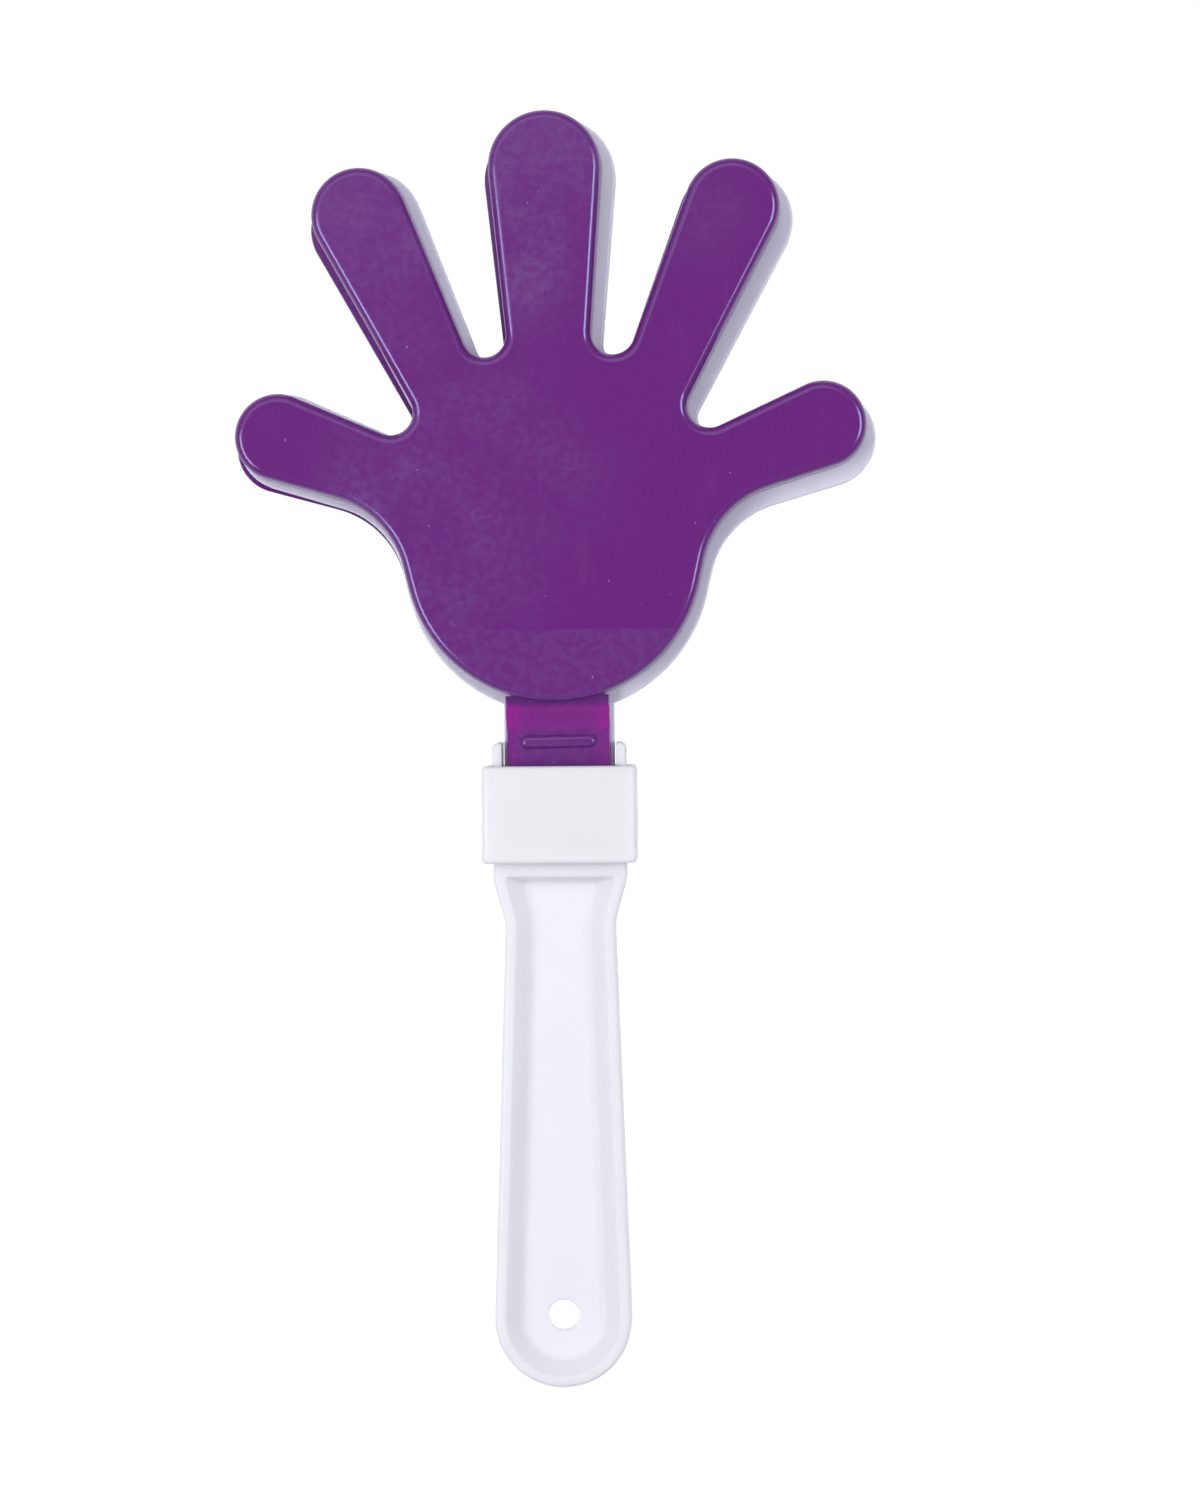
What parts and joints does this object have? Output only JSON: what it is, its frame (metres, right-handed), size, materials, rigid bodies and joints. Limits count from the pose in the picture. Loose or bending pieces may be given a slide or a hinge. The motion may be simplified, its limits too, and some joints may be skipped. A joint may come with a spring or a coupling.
{
  "type": "hand clapper",
  "caption": "Noise maker with hand-shaped plates on a flat grip: a fixed middle hand between two hinged outer shells, with a square collar that holds the hinges shut.",
  "frame": {"origin": "middle of the underside, with the part lying on its back hand", "axes": "+Y up the handle to the fingertips, +Z out of the front hand's face, +X to the right seen from the front"},
  "size_m": [0.1408, 0.2798, 0.0253],
  "materials": {
    "hand_purple": "glossy moulded plastic",
    "hand_white": "satin moulded plastic",
    "collar_white": "satin moulded plastic",
    "handle_white": "satin moulded plastic"
  },
  "bodies": {
    "grip_body": {"handle": "handle_white", "collar": "collar_white", "middle_hand": "hand_white"},
    "front_hand_body": {"front_hand": "hand_purple"},
    "back_hand_body": {"back_hand": "hand_purple"}
  },
  "joints": [
    {"name": "front_hand_swing", "type": "hinge", "parent": "grip_body", "child": "front_hand_body", "pos_m": [0.00054, -0.00672, 0.01655], "axis": [0.9999, 0.0157, 0], "range_deg": [0, 30]},
    {"name": "back_hand_swing", "type": "hinge", "parent": "grip_body", "child": "back_hand_body", "pos_m": [0.00054, -0.00812, 0.00875], "axis": [-0.9997, -0.0244, 0], "range_deg": [0, 30]}
  ]
}
